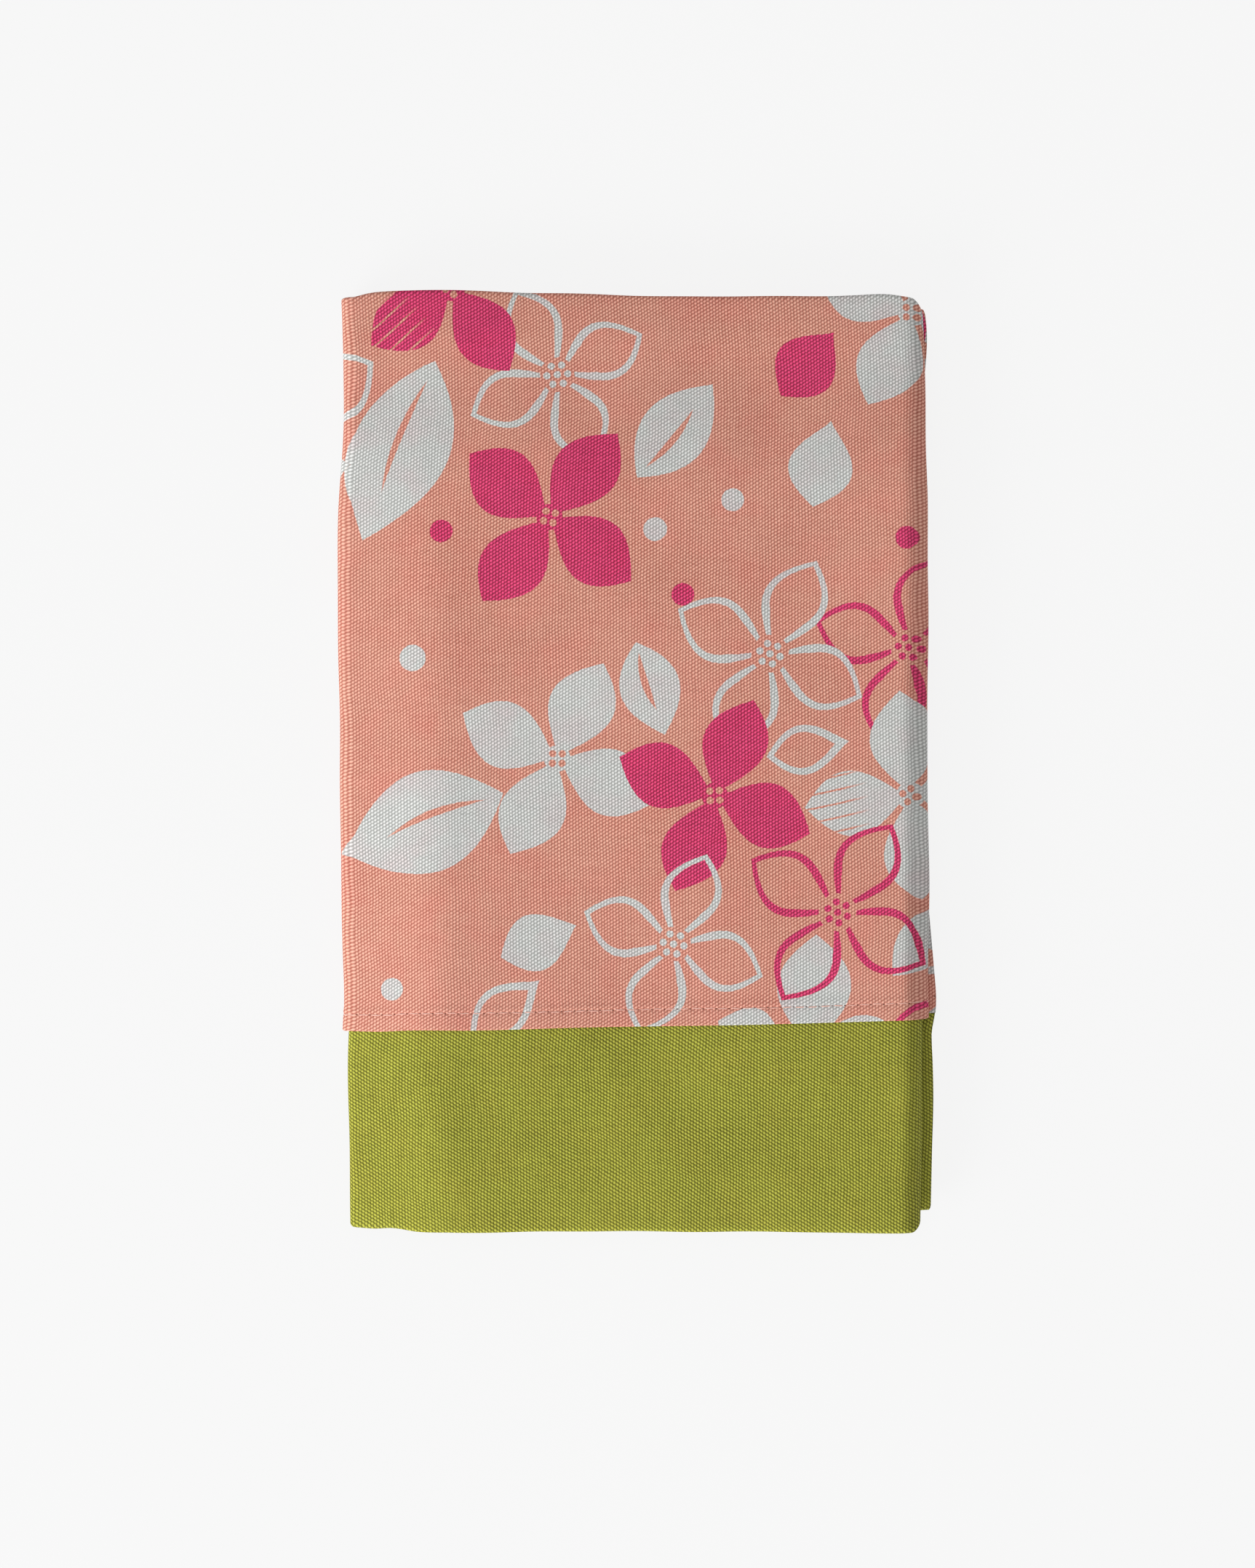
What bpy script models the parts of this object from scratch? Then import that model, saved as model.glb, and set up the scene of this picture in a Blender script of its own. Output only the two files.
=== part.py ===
# Folded furoshiki: one square cotton cloth, folded in three along its length and then in four across.
# Metres, +Z up. The cloth lies on its back panel, front up, with its top fold towards +Y.

import math

import bmesh
import bpy
import numpy as np

MM = 0.001

# The cloth
SHEET = 1.0 * MM
LAYER_GAP = 0.2 * MM
PITCH = SHEET + LAYER_GAP
CLOTH_LENGTH = 500 * MM
HALF_HEIGHT = 100.75 * MM

# Outline of the folded front
# Columns: place across (0 at the left fold, 1 at the right fold), height above the lowest point in mm
TOP_FOLD = (
    (0.00, 199.2),
    (0.04, 200.2),
    (0.14, 201.3),
    (0.32, 201.0),
    (0.70, 200.0),
    (0.90, 200.4),
    (0.97, 200.0),
    (1.00, 199.0),
)
HEM = ((0.00, 44.2), (0.06, 43.4), (0.22, 43.4), (0.40, 44.0), (0.70, 44.6), (1.00, 45.6))
BOTTOM_FOLD = (
    (0.00, 2.0),
    (0.08, 1.0),
    (0.17, 0.4),
    (0.34, 0.4),
    (0.66, 0.1),
    (0.90, 0.2),
    (0.97, 0.5),
    (1.00, 1.1),
)

# Columns: height above the lowest point in mm, X of the middle layer in mm
LEFT_FOLD = ((0, -60.4), (50, -60.6), (90, -61.5), (136, -61.9), (182, -60.7), (200, -61.1))
RIGHT_FOLD = ((0, 60.4), (50, 60.7), (74, 61.0), (105, 60.6), (167, 60.1), (190, 60.6), (200, 60.3))
UNDER_EDGE = ((0, 57.6), (60, 58.4), (130, 57.9), (200, 58.8))
INNER_EDGE = ((0, 63.2), (20, 63.5), (50, 63.4), (66, 62.9), (90, 61.8), (200, 60.2))

# How much of PITCH the stack keeps where it has no flap, low down, or no back layer, high up
# Columns: height above the lowest point in mm, share of PITCH
FLAP_SLOT = ((10, 0.6), (43, 1.0))
BACK_SLOT = ((158, 1.0), (188, 0.6))

# How far the edges slipped up when the cloth was folded across, at each line from its first edge to its last
# Columns: top fold, bottom fold and hem, in mm
SLIP = (
    (-1.2, 2.0, 0.8),  # edge under the stack
    (0.0, 0.0, 0.0),  # left fold, outside
    (0.0, 0.0, 0.0),  # right fold
    (-0.9, 1.0, 0.6),  # left fold, inside
    (-1.6, 5.4, 1.0),  # edge inside the stack
)

# Steps of the mesh. The layers share their levels, so that none cuts its neighbour.
WRAP_CORNER = 1.9 * PITCH
LEVELS = np.array((10, 20, 32, 44, 80, 118, 158, 168, 178, 188)) * MM
FLAP_LEVELS = LEVELS[4:]
BACK_LEVELS = LEVELS[:6]
FRONT_SHARES = (0, 0.04, 0.1, 0.17, 0.28, 0.42, 0.57, 0.72, 0.87, 0.95, 1)
HIDDEN_STEPS = 3
CORNER_STEPS = 4
HALF_TURN_STEPS = 6
RIGHT_FOLD_STEPS = 8

# Colour and roughness
PRINTED_SIDE = ((0.66, 0.30, 0.20, 1), 0.9)
PLAIN_SIDE = ((0.30, 0.30, 0.045, 1), 0.9)


def smooth(table, at):
    """Read a two-column table on a smooth curve through its rows."""
    places, values = np.array(table, float).T
    slopes = np.gradient(values, places)
    at = min(max(at, places[0]), places[-1])
    row = min(int(np.searchsorted(places, at, side="right")) - 1, len(places) - 2)
    step = places[row + 1] - places[row]
    t = (at - places[row]) / step
    start = (1 + 2 * t) * (1 - t) ** 2 * values[row] + t * (1 - t) ** 2 * step * slopes[row]
    end = t * t * (3 - 2 * t) * values[row + 1] + t * t * (t - 1) * step * slopes[row + 1]
    return start + end


def slot(table, height):
    """Share of PITCH that a slot keeps at a height, eased between the table's two rows."""
    (low, low_share), (high, high_share) = table
    t = min(max((height / MM - low) / (high - low), 0), 1)
    return low_share + (high_share - low_share) * (1 - math.cos(math.pi * t)) / 2


def panel_heights(height):
    """Z of the four panels' middle layers, in their order along the cloth."""
    flap = slot(FLAP_SLOT, height) * PITCH
    back = slot(BACK_SLOT, height) * PITCH
    under = SHEET / 2 + flap
    inner_low = under + PITCH + 2 * back
    inner_high = inner_low + PITCH + 2 * flap
    front = inner_high + PITCH + 2 * back
    return under, front, inner_high, inner_low


def across_point(part, share, height):
    """X and Z of the middle layer at a share of one part of the fold across, and the way its front faces."""
    under, front, inner_high, inner_low = panel_heights(height)
    left = smooth(LEFT_FOLD, height / MM) * MM
    right = smooth(RIGHT_FOLD, height / MM) * MM
    wrap_centre = left + WRAP_CORNER
    right_radius = (front - inner_high) / 2
    right_centre = right - right_radius
    inner_radius = (inner_high - inner_low) / 2
    inner_centre = left + 3 * PITCH + inner_radius

    def flat(start, end, z, facing):
        return start + (end - start) * share, z, 0, facing

    def turn(x, z, radius, start, end, facing=1):
        angle = math.radians(start + (end - start) * share)
        to_x = math.cos(angle)
        to_z = math.sin(angle)
        return x + radius * to_x, z + radius * to_z, facing * to_x, facing * to_z

    if part == "under panel":
        return flat(smooth(UNDER_EDGE, height / MM) * MM, wrap_centre, under, -1)
    if part == "lower corner":
        return turn(wrap_centre, under + WRAP_CORNER, WRAP_CORNER, 270, 180)
    if part == "upper corner":
        return turn(wrap_centre, front - WRAP_CORNER, WRAP_CORNER, 180, 90)
    if part == "front panel":
        return flat(wrap_centre, right_centre, front, 1)
    if part == "right fold":
        return turn(right_centre, (front + inner_high) / 2, right_radius, 90, -90)
    if part == "upper inner panel":
        return flat(right_centre, inner_centre, inner_high, -1)
    if part == "inner fold":
        return turn(inner_centre, (inner_high + inner_low) / 2, inner_radius, 90, 270, -1)
    return flat(inner_centre, smooth(INNER_EDGE, height / MM) * MM, inner_low, 1)


def across_stations():
    """Part, share of the part and place in fold lines, 0 to 4, of each line of points across the cloth."""
    hidden = np.linspace(0, 1, HIDDEN_STEPS + 1)
    corner = np.linspace(0, 1, CORNER_STEPS + 1)
    half_turn = np.linspace(0, 1, HALF_TURN_STEPS + 1)
    right_turn = np.linspace(0, 1, RIGHT_FOLD_STEPS + 1)
    parts = (
        ("under panel", hidden[:-1], 0, 1),
        ("lower corner", corner, 1, 1),
        ("upper corner", corner[:-1], 1, 1),
        ("front panel", FRONT_SHARES[:-1], 1, 2),
        ("right fold", right_turn[:-1], 2, 2),
        ("upper inner panel", hidden[:-1], 2, 3),
        ("inner fold", half_turn[:-1], 3, 3),
        ("lower inner panel", hidden, 3, 4),
    )
    return [
        (part, share, first + (last - first) * share)
        for part, shares, first, last in parts
        for share in shares
    ]


def lengthwise_points(place):
    """Height and depth along the fold in three, from the front hem, and the way the printed side faces."""
    share = abs(place - (1 if place <= 2 else 3))
    top_slip, bottom_slip, hem_slip = (np.interp(place, range(len(SLIP)), column) for column in zip(*SLIP))
    radius = PITCH / 2
    top_centre = (smooth(TOP_FOLD, share) + top_slip) * MM - radius - SHEET / 2
    bottom_centre = (smooth(BOTTOM_FOLD, share) + bottom_slip) * MM + radius + SHEET / 2
    hem = (smooth(HEM, share) + hem_slip) * MM
    used = (top_centre - hem) + (top_centre - bottom_centre) + 2 * math.pi * radius
    back_edge = bottom_centre + CLOTH_LENGTH - used

    points = [(height, PITCH, 0, 1) for height in (hem, *FLAP_LEVELS)]
    for angle in np.linspace(0, math.pi, HALF_TURN_STEPS + 1):
        to_height = math.sin(angle)
        to_depth = math.cos(angle)
        points.append((top_centre + radius * to_height, radius + radius * to_depth, to_height, to_depth))
    points += [(height, 0, 0, -1) for height in reversed(LEVELS)]
    for angle in np.linspace(0, math.pi, HALF_TURN_STEPS + 1):
        to_height = math.sin(angle)
        to_depth = -math.cos(angle)
        points.append((bottom_centre - radius * to_height, -radius - radius * to_depth, to_height, to_depth))
    points += [(height, -PITCH, 0, 1) for height in (*BACK_LEVELS, back_edge)]
    return points


def finish(name, colour, roughness):
    """A Principled material for one side of the cloth."""
    material = bpy.data.materials.new(name)
    material.use_nodes = True
    shader = material.node_tree.nodes["Principled BSDF"]
    shader.inputs["Base Color"].default_value = colour
    shader.inputs["Roughness"].default_value = roughness
    shader.inputs["Metallic"].default_value = 0
    return material


def fold_cloth():
    """A flat slab of the sheet's thickness, with each of its points moved to its place in the folds."""
    stations = across_stations()
    sections = [lengthwise_points(place) for _, _, place in stations]
    columns = len(stations) - 1
    rows = len(sections[0]) - 1

    slab = bmesh.new()
    bmesh.ops.create_grid(slab, x_segments=columns, y_segments=rows, size=1)
    raised = bmesh.ops.extrude_face_region(slab, geom=slab.faces[:])["geom"]
    printed = {element for element in raised if isinstance(element, bmesh.types.BMVert)}
    bmesh.ops.translate(slab, verts=list(printed), vec=(0, 0, 1))
    bmesh.ops.recalc_face_normals(slab, faces=slab.faces)

    for vert in slab.verts:
        column = round((vert.co.x + 1) / 2 * columns)
        row = round((vert.co.y + 1) / 2 * rows)
        part, share, _ = stations[column]
        height, depth, to_height, to_depth = sections[column][row]
        half = SHEET / 2 if vert in printed else -SHEET / 2
        height += half * to_height
        depth += half * to_depth
        x, z, facing_x, facing_z = across_point(part, share, height)
        vert.co = (x + facing_x * depth, height - HALF_HEIGHT, z + facing_z * depth)

    for face in slab.faces:
        face.material_index = 0 if printed.issuperset(face.verts) else 1
        face.smooth = True

    mesh = bpy.data.meshes.new("cloth")
    slab.to_mesh(mesh)
    slab.free()
    mesh.materials.append(finish("printed side", *PRINTED_SIDE))
    mesh.materials.append(finish("plain side", *PLAIN_SIDE))
    mesh.set_sharp_from_angle(angle=math.radians(50))
    cloth = bpy.data.objects.new("cloth", mesh)
    bpy.context.scene.collection.objects.link(cloth)
    return cloth


for leftover in list(bpy.data.objects):
    bpy.data.objects.remove(leftover, do_unlink=True)

fold_cloth()
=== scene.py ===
import math

import bmesh
import bpy
import numpy as np
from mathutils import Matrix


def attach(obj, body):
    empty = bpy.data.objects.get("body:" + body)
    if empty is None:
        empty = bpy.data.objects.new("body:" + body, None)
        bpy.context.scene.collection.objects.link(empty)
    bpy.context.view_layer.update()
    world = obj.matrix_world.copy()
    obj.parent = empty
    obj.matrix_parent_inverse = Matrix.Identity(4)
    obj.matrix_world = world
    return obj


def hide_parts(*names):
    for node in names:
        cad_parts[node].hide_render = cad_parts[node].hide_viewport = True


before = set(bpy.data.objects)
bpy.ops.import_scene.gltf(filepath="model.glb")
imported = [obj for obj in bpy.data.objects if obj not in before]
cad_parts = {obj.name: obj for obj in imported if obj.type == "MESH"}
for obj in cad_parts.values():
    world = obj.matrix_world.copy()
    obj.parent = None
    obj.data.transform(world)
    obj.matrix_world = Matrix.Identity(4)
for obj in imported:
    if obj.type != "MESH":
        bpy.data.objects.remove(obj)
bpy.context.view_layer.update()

# A folded furoshiki: printed cotton, plain on the back, folded in three along its length and in four across.
# Sizes are in mm, and become metres where a mesh is made. The cloth has its own flat coordinates:
# u runs across from the edge under the stack, v runs along from the stitched hem on the front.

mm = 0.001


# The sheet

cloth = {
    "halfSheet": 0.26,
    "hemWidth": 4.7,
    "hemOver": 0.13,  # how much the hem's turned-in cloth lifts the printed side
    "hemUnder": 0.25,
    "edgeRound": 0.34,
    "columns": (12, 6, 4, 9, 150, 14, 12, 8, 22),  # steps of each part across
    "seamAt": 3.6,  # from the hem's edge
    "seamDepth": 0.13,
    "stitch": 2.76,
    "pucker": 0.045,
}


# The folds

fold = {
    "pitch": 1.2,  # from layer to layer
    "solidSheet": 1.0,  # the thickness of a layer in the solids, which sets the outline
    "corner": 1.5,
    "length": 500,
    "middle": 100.75,  # height of the outline's middle above its lowest point
    # place across the front from left to right, height in mm
    "top": (
        (0, 200.4),
        (0.03, 201.2),
        (0.06, 201.5),
        (0.11, 201.7),
        (0.32, 201.1),
        (0.7, 200.3),
        (0.84, 200.4),
        (0.9, 200.7),
        (0.96, 200.8),
        (1, 200.1),
    ),
    "hem": ((0, 42.9), (0.04, 42.9), (0.1, 43.3), (0.22, 43.4), (0.4, 44), (0.7, 44.6), (1, 45.6)),
    "bottom": ((0, 0.5), (0.03, 0.4), (0.06, 0.6), (0.11, -0.2), (0.17, -0.3), (0.34, 0.1), (0.66, 0), (0.9, -0.2), (1, -0.2)),
    # height, X of the middle layer
    "left": (
        (0, -60.8),
        (20, -61.1),
        (37, -61.4),
        (48, -61),
        (61, -61.2),
        (77, -61.5),
        (108, -61.7),
        (124, -62.1),
        (155, -61.8),
        (176, -60.8),
        (186, -60.9),
        (200, -61.5),
    ),
    "right": (
        (0, 60.9),
        (50, 61.2),
        (74, 61.4),
        (105, 61.1),
        (139, 61.1),
        (155, 61.1),
        (167, 60.7),
        (180, 60.7),
        (190, 60.3),
        (200, 59.9),
    ),
    "underEdge": ((0, 57.6), (60, 58.4), (130, 57.9), (200, 58.8)),
    "innerEdge": (
        (0, 63.8),
        (15, 64.1),
        (30, 64.4),
        (37, 64.2),
        (42, 64),
        (47, 64.8),
        (58, 64.3),
        (66, 63.6),
        (90, 61.8),
        (160, 60.4),
        (176, 61.2),
        (186, 62.6),
        (193, 62.9),
        (200, 62.2),
    ),
    # height, share of the pitch that stays where a layer is missing
    "flapSlot": ((10, 0.6), (43, 1)),
    "backSlot": ((158, 1), (188, 0.6)),
    # how far the top fold, the bottom fold and the hem slipped up, at each fold line
    "slip": ((-1.2, 2, 0.8), (0, 0, 0), (0, 0, 0), (-0.9, 1, 0.6), (-1.6, 3.9, 1)),
    "cornerRound": 0.9,  # radius of the cloth's corners, where its side edges meet a fold
    "turnRound": (3.5, 1.6),  # how far the top and the bottom fold draw in round the right fold
    "lines": (0, 1, 1, 1, 1, 2, 2, 3, 3, 4),  # fold lines passed at the start of each part, and at the end
}


def smooth(table, at):
    places, values = np.array(table, float).T
    slopes = np.gradient(values, places)
    at = np.clip(at, places[0], places[-1])
    row = np.clip(np.searchsorted(places, at, side="right") - 1, 0, len(places) - 2)
    step = places[row + 1] - places[row]
    t = (at - places[row]) / step
    start = (1 + 2 * t) * (1 - t) ** 2 * values[row] + t * (1 - t) ** 2 * step * slopes[row]
    return start + t * t * (3 - 2 * t) * values[row + 1] + t * t * (t - 1) * step * slopes[row + 1]


def slotShare(table, height):
    (low, lowShare), (high, highShare) = table
    t = np.clip((height - low) / (high - low), 0, 1)
    return lowShare + (highShare - lowShare) * (1 - np.cos(math.pi * t)) / 2


def acrossParts(height):
    # each part is a flat run (start X, end X, Z, facing) or a turn (X, Z, radius, start, end, facing)
    pitch = fold["pitch"]
    flap = slotShare(fold["flapSlot"], height) * pitch
    back = slotShare(fold["backSlot"], height) * pitch
    under = fold["solidSheet"] / 2 + flap
    innerLow = under + pitch + 2 * back
    innerHigh = innerLow + pitch + 2 * flap
    front = innerHigh + pitch + 2 * back
    grown = fold["solidSheet"] / 2 - cloth["halfSheet"]
    left = smooth(fold["left"], height) - grown
    corner = fold["corner"]
    wrap = left + corner
    rightRadius = (front - innerHigh) / 2
    right = smooth(fold["right"], height) + grown - rightRadius
    innerRadius = (innerHigh - innerLow) / 2
    inner = left + 3 * pitch + innerRadius
    quarter = math.pi / 2
    return (
        (smooth(fold["underEdge"], height), wrap, under, -1),
        (wrap, under + corner, corner, 3 * quarter, 2 * quarter, 1),
        (under + corner, front - corner, left, 0),
        (wrap, front - corner, corner, 2 * quarter, quarter, 1),
        (wrap, right, front, 1),
        (right, (front + innerHigh) / 2, rightRadius, quarter, -quarter, 1),
        (right, inner, innerHigh, -1),
        (inner, (innerHigh + innerLow) / 2, innerRadius, quarter, 3 * quarter, -1),
        (inner, smooth(fold["innerEdge"], height), innerLow, 1),
    )


def partLength(part):
    if len(part) == 4:
        return abs(part[1] - part[0])
    return abs(part[4] - part[3]) * part[2]


partStarts = np.cumsum([0.0] + [float(partLength(part)) for part in acrossParts(np.array(110.0))])
frontStart = partStarts[4]
clothWidth = partStarts[-1]


def foldedAcross(u, height, depth):
    xs, zs, conditions = [], [], []
    for number, part in enumerate(acrossParts(height)):
        share = (u - partStarts[number]) / (partStarts[number + 1] - partStarts[number])
        if len(part) == 6:
            x, z, radius, start, end, facing = part
            angle = start + (end - start) * share
            xs.append(x + (radius + facing * depth) * np.cos(angle))
            zs.append(z + (radius + facing * depth) * np.sin(angle))
        else:
            start, end, across, facing = part
            run = start + (end - start) * share
            xs.append(run if facing else across - depth)
            zs.append(across + facing * depth if facing else run)
        conditions.append(u <= partStarts[number + 1])
    return np.select(conditions, xs, xs[-1]), np.select(conditions, zs, zs[-1])


def lengthLines(u):
    # heights of the top fold's centre, the bottom fold's centre and the hem, at a place across the cloth
    place = np.interp(u, partStarts, fold["lines"])
    share = np.abs(place - np.where(place <= 2, 1, 3))
    slips = [np.interp(place, range(len(fold["slip"])), column) for column in zip(*fold["slip"])]
    inset = fold["pitch"] / 2 + cloth["halfSheet"]
    top = smooth(fold["top"], share) + slips[0] - inset
    bottom = smooth(fold["bottom"], share) + slips[1] + inset
    fromSide = np.clip(np.minimum(u, partStarts[-1] - u) / fold["cornerRound"], 0, 1)
    cut = fold["cornerRound"] * (1 - np.sqrt(1 - (1 - fromSide) ** 2))
    turned = np.clip((u - partStarts[5]) / (partStarts[6] - partStarts[5]), 0, 1)
    drawnIn = 1 - np.abs(np.cos(math.pi * turned))
    top = top - cut - fold["turnRound"][0] * drawnIn
    bottom = bottom + cut + fold["turnRound"][1] * drawnIn
    return top, bottom, smooth(fold["hem"], share) + slips[2]


def foldedAlong(u, v, w):
    top, bottom, hem = lengthLines(u)
    radius = fold["pitch"] / 2
    topTurn = top - hem
    down = topTurn + math.pi * radius
    bottomTurn = down + top - bottom
    back = bottomTurn + math.pi * radius
    topAngle = np.clip((v - topTurn) / radius, 0, math.pi)
    bottomAngle = np.clip((v - bottomTurn) / radius, 0, math.pi)
    parts = [v <= topTurn, v <= down, v <= bottomTurn, v <= back]
    height = np.select(
        parts,
        [
            hem + v,
            top + (radius + w) * np.sin(topAngle),
            top - (v - down),
            bottom - (radius - w) * np.sin(bottomAngle),
        ],
        bottom + v - back,
    )
    depth = np.select(
        parts,
        [
            2 * radius + w,
            radius + (radius + w) * np.cos(topAngle),
            -w,
            -radius + (radius - w) * np.cos(bottomAngle),
        ],
        -2 * radius + w,
    )
    return height, depth


def threadPlace(u, v):
    # where v lies on the threads, which stay straight though the folds wander a little
    top, bottom, hem = lengthLines(u)
    strayTop = 2 * (top - top.mean()) - (hem - hem.mean())
    strayBottom = 2 * (bottom - bottom.mean())
    topTurn = top - hem
    bottomTurn = topTurn + top - bottom

    def ramp(turn):
        share = np.clip((v - turn) / 50, 0, 1)
        return share * share * (3 - 2 * share)

    return v - strayTop * ramp(topTurn) + strayBottom * ramp(bottomTurn)


# How the stack lies: shoulders that sink towards its edges, and soft unevenness

lie = {
    # X where it starts, X of the edge, drop in mm at the edge half way up,
    # and the share of the way that bends, before the straight slope
    "leftShoulder": (-38, -62, 4.1, 0.4),
    "rightShoulder": (57, 62, 2.9, 0.6),
    "leftTwist": 0.75,  # how much steeper it is at the bottom than half way up
    "rightTwist": 0.5,
    "topShoulder": (89, 100, 0.9, 0.4),  # the same along Y
    "bottomShoulder": (-86, -100, 0.7, 0.4),
    "waves": (
        # wavelength across, wavelength along, phase, height in mm
        (83, 171, 0.4, 0.16),
        (-47, 88, 1.9, 0.09),
        (39, 61, 4.0, 0.06),
        (-120, 33, 2.6, 0.05),
        (22, -52, 5.1, 0.03),
    ),
    "layerWaves": (
        (37, 71, 0.9, 0.07),
        (-23, 44, 3.1, 0.05),
        (58, -29, 5.3, 0.06),
    ),
}


def waves(table, x, y):
    return sum(height * np.sin(2 * math.pi * (x / across + y / along) + phase) for across, along, phase, height in table)


def shoulder(at, start, edge, drop, bend):
    run = np.clip((at - start) / (edge - start), 0, 1.1)
    return drop * np.where(run < bend, run * run / (2 * bend), run - bend / 2) / (1 - bend / 2)


def placed(u, v, w):
    height, depth = foldedAlong(u, v, 0)
    _, z = foldedAcross(u, height, depth)
    loose = waves(lie["layerWaves"], u, v) * np.clip(z / 4, 0, 1)
    height, depth = foldedAlong(u, v, w + loose)
    x, z = foldedAcross(u, height, depth)
    y = height - fold["middle"]
    stack = 13.7
    sink = (
        shoulder(x, *lie["leftShoulder"]) * (1 - lie["leftTwist"] * y / 100)
        + shoulder(x, *lie["rightShoulder"]) * (1 - lie["rightTwist"] * y / 100)
        + shoulder(y, *lie["topShoulder"])
        + shoulder(y, *lie["bottomShoulder"])
    )
    z = z * (1 - (sink - waves(lie["waves"], x, y)) / stack)
    return x, y, z


# The cloth: a flat slab, with a thicker hem, whose points go to their places in the folds


hemRows = (0, 0.05, 0.13, 0.23, 0.34, 0.6, 1, 1.5, 2, 2.5, 2.9, 3.2, 3.4, 3.6, 3.8, 4, 4.3, 4.7, 5.2, 6)


def columnPlaces():
    places = [0.0, 0.1, 0.34]
    for number, steps in enumerate(cloth["columns"]):
        run = np.linspace(partStarts[number], partStarts[number + 1], steps + 1)
        places += [u for u in run if u > 0.5]
        places.pop()
    return np.array(places + [clothWidth - 0.34, clothWidth - 0.1, clothWidth])


def rowPlaces(u):
    top, bottom, hem = lengthLines(u)
    turn = math.pi * fold["pitch"] / 2
    flap = top - hem
    down = flap + turn
    bottomTurn = down + top - bottom
    back = bottomTurn + turn
    end = fold["length"]
    runs = (
        (hemRows[-1], flap, 72),
        (flap, down, 10),
        (down, bottomTurn - 52, 9),
        (bottomTurn - 52, bottomTurn, 30),
        (bottomTurn, back, 10),
        (back, end - hemRows[-1], 16),
    )
    rows = list(hemRows[:-1])
    for start, finish, steps in runs:
        rows += list(np.linspace(start, finish, steps + 1)[:-1])
    return np.array(rows + [end - row for row in reversed(hemRows[::2])] + [end])


def thickness(u, v, side):
    fromHem = np.minimum(v, fold["length"] - v)
    inHem = 1 / (1 + np.exp((fromHem - cloth["hemWidth"]) / 0.16))
    upper = cloth["halfSheet"] + cloth["hemOver"] * inHem
    lower = cloth["halfSheet"] + cloth["hemUnder"] * inHem
    seam = np.exp(-(((fromHem - cloth["seamAt"]) / 0.4) ** 2))
    pull = np.exp(-(((fromHem - cloth["seamAt"]) / 1.6) ** 2))
    upper = upper - cloth["seamDepth"] * seam - cloth["pucker"] * pull * np.cos(2 * math.pi * u / cloth["stitch"])
    nearEdge = np.minimum(fromHem, np.minimum(u, clothWidth - u)) / cloth["edgeRound"]
    roundness = np.sqrt(np.clip(1 - (1 - np.clip(nearEdge, 0, 1)) ** 2, 0.02, 1))
    return np.where(side > 0, upper * roundness, -lower * roundness)


def makeCloth():
    u = columnPlaces()
    v = np.array([rowPlaces(place) for place in u])
    columns, rows = v.shape[0] - 1, v.shape[1] - 1
    slab = bmesh.new()
    bmesh.ops.create_grid(slab, x_segments=columns, y_segments=rows, size=1)
    raised = bmesh.ops.extrude_face_region(slab, geom=slab.faces[:])["geom"]
    bmesh.ops.translate(slab, verts=[part for part in raised if isinstance(part, bmesh.types.BMVert)], vec=(0, 0, 1))
    bmesh.ops.recalc_face_normals(slab, faces=slab.faces)
    mesh = bpy.data.meshes.new("cloth")
    slab.to_mesh(mesh)
    slab.free()

    flat = np.zeros(len(mesh.vertices) * 3)
    mesh.vertices.foreach_get("co", flat)
    flat = flat.reshape(-1, 3)
    column = np.rint((flat[:, 0] + 1) / 2 * columns).astype(int)
    row = np.rint((flat[:, 1] + 1) / 2 * rows).astype(int)
    side = np.where(flat[:, 2] > 0.5, 1, -1)
    pointU, pointV = u[column], v[column, row]
    x, y, z = placed(pointU, pointV, thickness(pointU, pointV, side))
    z = z - z.min() * (1 - z / z.max())
    mesh.vertices.foreach_set("co", (np.stack([x, y, z], 1) * mm).ravel())

    corners = np.zeros(len(mesh.loops), int)
    mesh.loops.foreach_get("vertex_index", corners)
    uvLayer = mesh.uv_layers.new(name="flat")
    flatPlaces = np.stack([pointU, threadPlace(pointU, pointV)], 1)
    uvLayer.uv.foreach_set("vector", (flatPlaces[corners] * mm).ravel())
    faceCorners = corners.reshape(-1, 4)
    printed = (side[faceCorners] > 0).all(1)
    hemRim = (row[faceCorners] == 0).all(1) | (row[faceCorners] == rows).all(1)
    mesh.polygons.foreach_set("material_index", np.where(printed | hemRim, 0, 1))
    mesh.shade_smooth()
    piece = bpy.data.objects.new("printedCloth", mesh)
    bpy.context.scene.collection.objects.link(piece)
    return piece


# The seam: one small thread over the cloth for each stitch of the front hem

seam = {
    "length": 2.55,
    "thread": 0.1,  # radius
    "sideways": 0.1,
    "sunk": 0.05,
}


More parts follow.
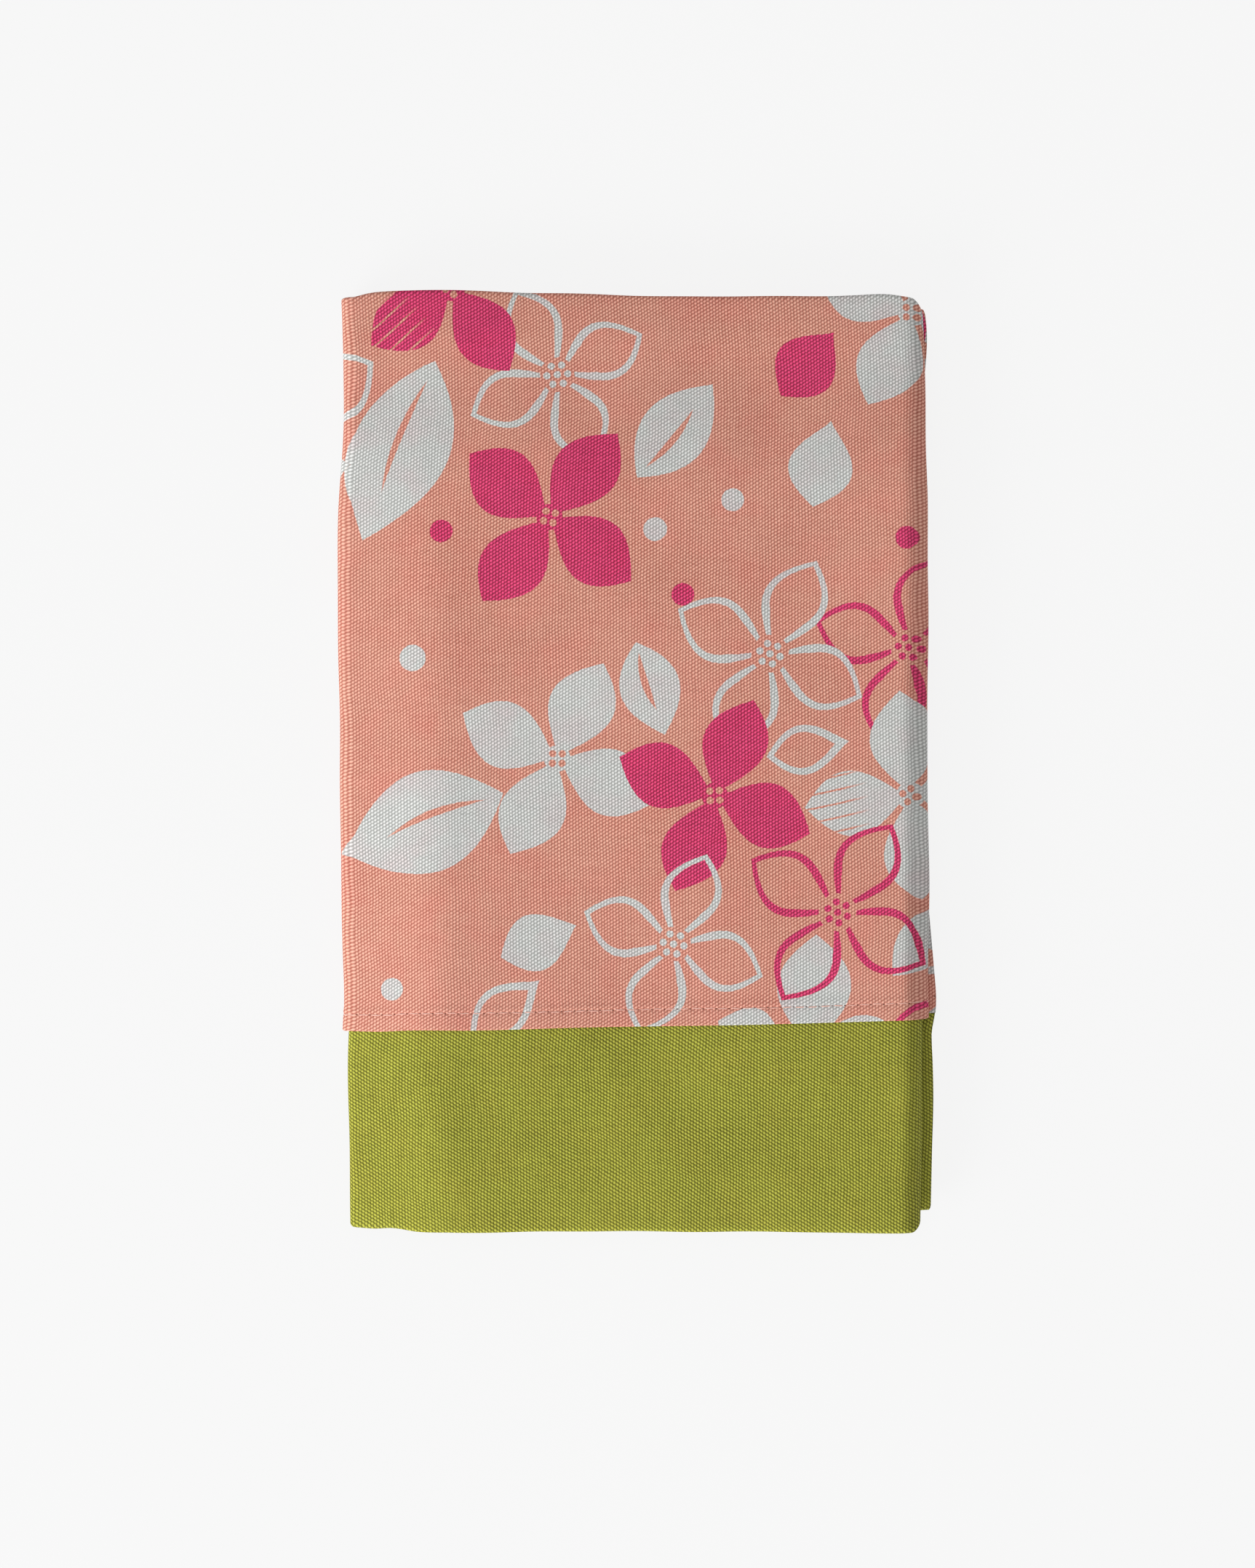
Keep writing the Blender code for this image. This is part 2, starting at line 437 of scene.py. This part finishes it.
def makeSeam():
    stitches = bmesh.new()
    count = int(clothWidth / cloth["stitch"]) - 1
    for number in range(count):
        middle = (number + 0.5) * cloth["stitch"] + cloth["stitch"] / 2
        tilt = 0.05 * math.sin(number * 2.3) + 0.04 * math.sin(number * 0.71 + 1)
        drift = seam["sideways"] * math.sin(number * 0.37) + 0.05 * math.sin(number * 1.9)
        made = bmesh.ops.create_uvsphere(stitches, u_segments=8, v_segments=6, radius=1)["verts"]
        for vert in made:
            along, aside, over = vert.co.z, vert.co.x, vert.co.y
            stretch = math.copysign(abs(along) ** 0.8, along) * seam["length"] / 2
            arch = seam["sunk"] - 0.2 * along * along
            vert.co = (
                middle + stretch,
                cloth["seamAt"] + drift + tilt * stretch + aside * seam["thread"] * 1.15,
                arch + over * seam["thread"],
            )
    bmesh.ops.recalc_face_normals(stitches, faces=stitches.faces)
    mesh = bpy.data.meshes.new("hemStitches")
    stitches.to_mesh(mesh)
    stitches.free()
    flat = np.zeros(len(mesh.vertices) * 3)
    mesh.vertices.foreach_get("co", flat)
    u, v, over = flat.reshape(-1, 3).T
    surface = thickness(u, np.full_like(u, cloth["seamAt"]), np.ones_like(u))
    x, y, z = placed(u, v, surface + over)
    mesh.vertices.foreach_set("co", (np.stack([x, y, np.maximum(z, 0.02)], 1) * mm).ravel())
    mesh.shade_smooth()
    piece = bpy.data.objects.new("hemStitches", mesh)
    bpy.context.scene.collection.objects.link(piece)
    return piece


# Shader arithmetic: a wire wraps a socket, and sums of wires become Math nodes

class Wire:
    def __init__(self, tree, socket=None):
        self.tree = tree
        self.socket = socket

    def node(self, kind, settings=None, sockets=None, output=0):
        made = self.tree.nodes.new(kind)
        for name, value in (settings or {}).items():
            setattr(made, name, value)
        for name, value in (sockets or {}).items():
            if isinstance(value, Wire):
                self.tree.links.new(value.socket, made.inputs[name])
            else:
                made.inputs[name].default_value = value
        return Wire(self.tree, made.outputs[output])

    def math(self, operation, *others, clamp=False):
        values = dict(enumerate((self,) + others))
        return self.node("ShaderNodeMath", {"operation": operation, "use_clamp": clamp}, values)

    def vector(self, operation, *others, output=0):
        values = dict(enumerate((self,) + others))
        return self.node("ShaderNodeVectorMath", {"operation": operation}, values, output)

    def swapped(self, operation, first):
        return self.node("ShaderNodeMath", {"operation": operation}, {0: first, 1: self})

    def __add__(self, other):
        return self.math("ADD", other)

    def __radd__(self, other):
        return self.math("ADD", other)

    def __sub__(self, other):
        return self.math("SUBTRACT", other)

    def __rsub__(self, other):
        return self.swapped("SUBTRACT", other)

    def __mul__(self, other):
        return self.math("MULTIPLY", other)

    def __rmul__(self, other):
        return self.math("MULTIPLY", other)

    def __truediv__(self, other):
        return self.math("DIVIDE", other)

    def __rtruediv__(self, other):
        return self.swapped("DIVIDE", other)

    def __pow__(self, other):
        return self.math("POWER", other)

    def __abs__(self):
        return self.math("ABSOLUTE")

    def at(self, scale, shift=0):
        # scaled, shifted and held between 0 and 1
        return self.math("MULTIPLY_ADD", scale, shift, clamp=True)

    def axis(self, number):
        return self.node("ShaderNodeSeparateXYZ", None, {0: self}, number)

    def mixed(self, first, second):
        sockets = {0: self, 6: first, 7: second}
        return self.node("ShaderNodeMix", {"data_type": "RGBA", "clamp_factor": True}, sockets, 2)

    def noise(self, scale, detail=2, roughness=0.5, output=0):
        sockets = {"Vector": self, "Scale": scale, "Detail": detail, "Roughness": roughness}
        return self.node("ShaderNodeTexNoise", None, sockets, output)


# The print: plain blossoms, petals, leaves and dots in two inks, on a repeat larger than the front

printing = {
    "repeat": (165, 190),
    "edge": 0.16,  # softness of an inked edge
    "stroke": 2.05,
    "bleed": 0.3,
    "start": 0.8,  # where x begins, from the end of the left turn
    "petalShape": (1.35, 1.08),  # how slowly it opens from its base, and closes towards its tip
    "leafShape": (1.02, 1.1),
    "petalWidth": 0.315,  # half of a petal's width, against its length
    "ribBow": 0.035,
    "ribWidth": 0.85,
    "sway": 0.05,
    "dotSize": 0.86,
    "openDots": (6, 2.25),  # dots round the middle of a line-drawn blossom, and their distance from it
    "filledDots": (4, 1.45),
    "filledMiddle": 2.9,
    "hatching": 2.9,  # from line to line
    "dotTurn": 23,
}

# The lists are painted in order, each shape over the ones before it.
# x runs from the left end of the front, y from the hem.
# Petals: ink, drawn, x and y of the base, x and y of the tip, half width
petals = (
    ("pale", "leaf", 16.3, 143, 1.6, 105, 10.7),
    ("pale", "leaf", 31.5, 50.5, -2.8, 38, 10.9),
    ("pale", "closed", -17, 131, 3, 143.5, 8),
    ("pale", "solid", 47, 22, 30.5, 15.5, 6.2),
    ("pale", "closed", 39, 10.5, 24, -1.5, 5.6),
    ("rose", "solid", 102.5, 147.5, 90.5, 134, 6.8),
    ("pale", "solid", 101.5, 128.5, 97.5, 110, 7),
    ("pale", "closed", 105.5, 60, 87.5, 57, 5.4),
    ("pale", "solid", 97, -6, 98, 19, 8),
    ("pale", "solid", 129, 26, 114.3, 9.5, 5.4),
    ("pale", "solid", 96, -4.5, 118, -5.5, 6.6),
    ("rose", "closed", 134, -1.5, 112.5, -3, 6.4),
    ("pale", "solid", 92, -6, 77, 1, 6),
    ("pale", "leaf", 60, 82, 66, 62, 6.5),
    ("pale", "leaf", 60, 117, 76, 137, 7.5),
    ("pale", "leaf", 136, 74, 158, 92, 9),
)

# Blossoms: ink, drawn, x, y, petal length, turn in degrees
blossoms = (
    ("pale", "line", 42.5, 139.5, 20.5, 27),
    ("rose", "hatched", 20.5, 158.6, 21.5, -54),
    ("rose", "solid", 41.5, 109, 22.5, 54),
    ("pale", "solid", 43, 57.5, 22.5, 66),
    ("rose", "line", 118, 79.5, 21, 75),
    ("pale", "line", 88.5, 79, 22, 66),
    ("pale", "solid", 119.2, 151.2, 22, 66),
    ("pale", "hatched", 118, 48, 22.5, 278),
    ("rose", "solid", 76.5, 49, 22, -20),
    ("pale", "line", 67.5, 17.5, 20.5, 72),
    ("rose", "line", 102.5, 23.5, 22, 60),
    ("pale", "solid", 142.6, 118, 21.5, 12),
    ("rose", "line", 143, 20, 20.5, 35),
)

# Dots: ink, x, y, radius
dots = (
    ("rose", 18.5, 106.5, 2.5),
    ("pale", 12.5, 79.5, 2.9),
    ("pale", 7, 9, 2.5),
    ("pale", 80.5, 112, 2.5),
    ("rose", 117.5, 103, 2.5),
    ("rose", 70, 92, 2.5),
    ("pale", 64, 106, 2.6),
    ("rose", 141, 50, 2.5),
    ("pale", 138, 150, 2.7),
)


def fromCentre(flat, x, y):
    halfX, halfY = [side / 2 for side in printing["repeat"]]
    offset = flat.vector("SUBTRACT", (float(frontStart + printing["start"] + x), y, 0))
    return offset.vector("WRAP", (halfX, halfY, 1), (-halfX, -halfY, -1))


def petalInk(along, across, length, halfWidth, drawn):
    # how much ink lies at a point, and how much of the shape's own ground
    fullness, sharpness = printing["leafShape" if drawn == "leaf" else "petalShape"]
    edge = printing["edge"]
    widest = fullness / (fullness + sharpness)
    scale = halfWidth / (widest**fullness * (1 - widest) ** sharpness)
    along = along.at(1)
    rest = 1 - along
    outline = along**fullness * (rest**sharpness * scale)
    inside = outline - abs(across)
    if drawn in ("closed", "open"):
        slope = outline * (fullness / along - sharpness / rest) * (1 / length)
        inside = inside / (slope * slope + 1).math("SQRT")
        body = inside.at(1 / edge)
        stroke = (1 - along * 0.35) * printing["stroke"]
        if drawn == "open":
            stroke = (1.22 - along * 0.68) * (along.at(4, -0.5) * 0.6 + 0.4) * along.at(50, -7.5) * printing["stroke"]
        line = body * (stroke - inside).at(1 / edge)
        return line, line
    body = inside.at(1 / edge)
    if drawn == "leaf":
        fromMiddle = (along - 0.42) * (1 / 0.32)
        ribWidth = 1 - fromMiddle * fromMiddle
        fromRib = abs(across + ribWidth * (length * printing["ribBow"]))
        return body * (1 - (ribWidth * printing["ribWidth"] - fromRib).at(1 / edge)), body
    return body, body


def petal(flat, drawn, x, y, tipX, tipY, halfWidth):
    length = math.hypot(tipX - x, tipY - y)
    alongX, alongY = (tipX - x) / length, (tipY - y) / length
    offset = fromCentre(flat, x, y)
    along = offset.vector("DOT_PRODUCT", (alongX / length, alongY / length, 0), output=1)
    across = offset.vector("DOT_PRODUCT", (-alongY, alongX, 0), output=1)
    return petalInk(along, across, length, halfWidth, drawn)


def blossom(flat, drawn, x, y, length, turn):
    offset = fromCentre(flat, x, y)
    radius = offset.vector("LENGTH", output=1)
    angle = offset.axis(1).math("ARCTAN2", offset.axis(0))
    fromPetal = (angle - math.radians(turn)).math("WRAP", math.pi / 4, -math.pi / 4)
    along = radius * fromPetal.math("COSINE") * (1 / length)
    across = radius * fromPetal.math("SINE") + along * along * (length * printing["sway"])
    style = "open" if drawn == "line" else "solid"
    ink, body = petalInk(along, across, length, length * printing["petalWidth"], style)
    if drawn != "line":
        middle = (printing["filledMiddle"] - radius).at(1 / printing["edge"])
        ink, body = ink.math("MAXIMUM", middle), body.math("MAXIMUM", middle)
    if drawn == "hatched":
        gaps = (across * (2 * math.pi / printing["hatching"]) - along * 6).math("SINE").at(10, -8.6)
        onePetal = (angle - math.radians(turn - 90)).math("WRAP", math.pi, -math.pi)
        ink = ink * (1 - gaps * (0.75 - abs(onePetal)).at(20) * along.at(5, -1.9))

    count, ring = printing["openDots" if drawn == "line" else "filledDots"]
    halfStep = math.pi / count
    fromDot = (angle - math.radians(turn - printing["dotTurn"])).math("WRAP", halfStep, -halfStep)
    outward = radius * fromDot.math("COSINE") - ring
    sideways = radius * fromDot.math("SINE")
    distance = (outward * outward + sideways * sideways).math("SQRT")
    if drawn == "line":
        distance = distance.math("MINIMUM", radius)
    seeds = (printing["dotSize"] - distance).at(1 / printing["edge"])
    if drawn == "line":
        ink = ink.math("MAXIMUM", seeds)
        return ink, ink
    return ink * (1 - seeds), body


def dot(flat, x, y, radius):
    ink = (radius - fromCentre(flat, x, y).vector("LENGTH", output=1)).at(1 / printing["edge"])
    return ink, ink


def inks(flat):
    bleed = flat.noise(1.3, 2, output=1).vector("SUBTRACT", (0.5, 0.5, 0.5))
    flat = bleed.vector("MULTIPLY_ADD", (printing["bleed"],) * 3, flat)
    shapes = [(petal, row) for row in petals] + [(blossom, row) for row in blossoms] + [(dot, row) for row in dots]
    layers = {"pale": None, "rose": None}
    for draw, (name, *size) in shapes:
        ink, body = draw(flat, *size)
        for layer, under in layers.items():
            if under:
                under = under * (1 - body)
            if layer == name:
                under = under.math("MAXIMUM", ink) if under else ink
            layers[layer] = under
    return layers["pale"], layers["rose"]


# The weave: round nubs down each column of thread, half a nub lower in the next column. Its height makes the bump,
# and also sets the painted shade in the gaps and the painted highlight on the nubs

loom = {
    "column": 0.644,
    "nub": 0.764,
    "wander": 0.9,  # how far the threads stray over some 12 mm
    "lean": 0.1,
    "columnRise": 0.44,
    "nubRise": 0.42,
    "slantRise": 0.16,  # how much each nub leans to the right
    "middle": 0.35,
    "slub": 0.4,
    "bump": 0.11,
}

# sRGB colours in the gaps between the threads and on the nubs: the dark gap colours are painted shade between the
# threads, the light nub colours painted highlight on them
shades = {
    "coral": ((146, 63, 48), (243, 184, 163)),
    "pale": ((134, 135, 132), (231, 232, 229)),
    "rose": ((88, 0, 20), (251, 88, 139)),
    "green": ((16, 20, 0), (192, 192, 79)),
    # the stitching thread: dark in the grooves of its twist as painted shade, light on its plies
    "thread": ((212, 156, 142), (242, 198, 184)),
    # painted shade in the seam's needle holes
    "holeShade": (92, 52, 42),
    "stain": (1.03, 0.92, 0.94),  # multiplies the colour in faint patches
}


def linear(colour):
    return tuple(((part / 255 + 0.055) / 1.055) ** 2.4 for part in colour) + (1,)


def weave(flat):
    # 0 in a gap to 1 on a nub
    stray = flat.noise(0.085, 2, output=1).vector("SUBTRACT", (0.5, 0.5, 0.5))
    moved = stray.vector("MULTIPLY_ADD", (loom["wander"],) * 3, flat)
    along = moved.axis(1) * (2 * math.pi / loom["nub"])
    across = moved.axis(0) * (math.pi / loom["column"]) + along.math("SINE") * loom["lean"]
    columnLine = across.math("COSINE")
    nubs = columnLine * columnLine * loom["columnRise"] + columnLine * along.math("COSINE") * loom["nubRise"]
    nubs = nubs + across.math("SINE") * along.math("SINE") * loom["slantRise"] + loom["middle"]
    slubs = flat.vector("MULTIPLY", (1.1, 0.16, 1)).noise(1, 2)
    knots = flat.vector("MULTIPLY", (0.14, 1.2, 1)).noise(1, 2)
    single = flat.noise(1.5, 1)
    return nubs * (slubs * loom["slub"] + knots * loom["slub"] + single * 0.6 + (0.7 - loom["slub"]))


def clothMaterial(name, printed):
    material = bpy.data.materials.new(name)
    material.use_nodes = True
    tree = material.node_tree
    shader = tree.nodes["Principled BSDF"]
    shader.inputs["Specular IOR Level"].default_value = 0.1
    flat = Wire(tree).node("ShaderNodeUVMap", {"uv_map": "flat"}).vector("MULTIPLY", (1000, 1000, 0))

    # each ink is mixed from its gap and nub colours by the weave's height: painted shade in the gaps between the
    # threads
    def inkWithWeaveShade(shade):
        return threads.mixed(linear(shades[shade][0]), linear(shades[shade][1]))

    if printed:
        pale, rose = inks(flat)
    threads = weave(flat)
    cloudy = flat.noise(0.035, 3) - 0.5
    threads = (threads + cloudy * 0.16).at(1)
    if printed:
        colour = rose.mixed(pale.mixed(inkWithWeaveShade("coral"), inkWithWeaveShade("pale")), inkWithWeaveShade("rose"))
        # the seam's needle holes are painted dark: painted shade in the holes
        paintedHoleShade = flat.vector("SUBTRACT", (cloth["stitch"] / 2, cloth["seamAt"], 0))
        paintedHoleShade = paintedHoleShade.vector("WRAP", (cloth["stitch"] / 2, 250, 1), (-cloth["stitch"] / 2, -250, -1))
        paintedHoleShade = (1 - paintedHoleShade.vector("MULTIPLY", (3.6, 6, 0)).vector("LENGTH", output=1)).at(3)
        colour = (paintedHoleShade * 0.8).mixed(colour, linear(shades["holeShade"]))
    else:
        colour = inkWithWeaveShade("green")
    stain = flat.noise(0.12, 3).at(3.4, -1.45) * (1 if printed else 0.4)
    colour = stain.mixed(colour, colour.vector("MULTIPLY", shades["stain"]))
    bump = flat.node("ShaderNodeBump", None, {"Strength": 1, "Distance": loom["bump"] * mm, "Height": threads})
    roughness = threads * -0.08 + 0.93
    tree.links.new(colour.socket, shader.inputs["Base Color"])
    tree.links.new(roughness.socket, shader.inputs["Roughness"])
    tree.links.new(bump.socket, shader.inputs["Normal"])
    return material


def threadMaterial():
    material = bpy.data.materials.new("seamThread")
    material.use_nodes = True
    tree = material.node_tree
    shader = tree.nodes["Principled BSDF"]
    place = Wire(tree).node("ShaderNodeTexCoord", None, None, 3).vector("MULTIPLY", (1000, 1000, 1000))
    # the thread is darker in the grooves of its twist, as painted shade, with random fuzz in its own tone
    twist = (place.axis(0) * 18 + place.axis(1) * 26).math("SINE") * 0.5 + 0.5
    fuzz = place.noise(2.2, 2)
    shade = (twist * 0.5 + fuzz * 0.6).at(1)
    colour = shade.mixed(linear(shades["thread"][0]), linear(shades["thread"][1]))
    bump = place.node("ShaderNodeBump", None, {"Strength": 1, "Distance": 0.03 * mm, "Height": twist})
    tree.links.new(colour.socket, shader.inputs["Base Color"])
    tree.links.new((fuzz * 0.1 + 0.75).socket, shader.inputs["Roughness"])
    tree.links.new(bump.socket, shader.inputs["Normal"])
    return material


# The studio

studio = {
    "lens": 85,
    "camera": (-1.63, -4.8, 803),
    "floorColour": (0.06, 0.06, 0.06, 1),
    "floorGlow": 0.87,
    "sky": 0.36,
    # place, size and power of each light, aimed at the middle of the cloth
    "lights": (
        ((-1080, -980, 650), (1000, 650), 27.9),
        ((-250, 60, 1450), (1200, 1200), 6.4),
    ),
}


def makeStudio():
    scene = bpy.context.scene
    plate = bmesh.new()
    bmesh.ops.create_grid(plate, x_segments=1, y_segments=1, size=3)
    mesh = bpy.data.meshes.new("floor")
    plate.to_mesh(mesh)
    plate.free()
    floor = bpy.data.objects.new("floor", mesh)
    scene.collection.objects.link(floor)
    paper = bpy.data.materials.new("paleFloor")
    paper.use_nodes = True
    shader = paper.node_tree.nodes["Principled BSDF"]
    shader.inputs["Base Color"].default_value = studio["floorColour"]
    shader.inputs["Roughness"].default_value = 0.9
    shader.inputs["Specular IOR Level"].default_value = 0
    shader.inputs["Emission Color"].default_value = (1, 1, 1, 1)
    shader.inputs["Emission Strength"].default_value = studio["floorGlow"]
    mesh.materials.append(paper)

    lens = bpy.data.cameras.new("camera")
    lens.lens = studio["lens"]
    lens.sensor_fit = "VERTICAL"
    lens.sensor_height = 36
    lens.clip_start = 0.01
    camera = bpy.data.objects.new("camera", lens)
    camera.location = [place * mm for place in studio["camera"]]
    scene.collection.objects.link(camera)
    scene.camera = camera

    for number, (place, size, power) in enumerate(studio["lights"]):
        light = bpy.data.lights.new(f"softLight{number}", "AREA")
        light.shape = "RECTANGLE"
        light.size, light.size_y = size[0] * mm, size[1] * mm
        light.energy = power
        lamp = bpy.data.objects.new(f"softLight{number}", light)
        lamp.location = [part * mm for part in place]
        lamp.rotation_euler = (-lamp.location).to_track_quat("-Z", "Y").to_euler()
        scene.collection.objects.link(lamp)

    world = bpy.data.worlds.new("softRoom")
    world.use_nodes = True
    world.node_tree.nodes["Background"].inputs["Color"].default_value = (1, 1, 1, 1)
    world.node_tree.nodes["Background"].inputs["Strength"].default_value = studio["sky"]
    scene.world = world
    scene.view_settings.view_transform = "Standard"
    return floor


floor = makeStudio()
print("studio ready")

printedCloth = makeCloth()
printedCloth.data.materials.append(clothMaterial("printedCotton", True))
printedCloth.data.materials.append(clothMaterial("plainCotton", False))
print("cloth folded:", len(printedCloth.data.polygons), "faces")

hemStitches = makeSeam()
hemStitches.data.materials.append(threadMaterial())
print("hem stitched:", len(hemStitches.data.polygons), "faces")

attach(printedCloth, "root")
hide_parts("cloth")
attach(hemStitches, "root")
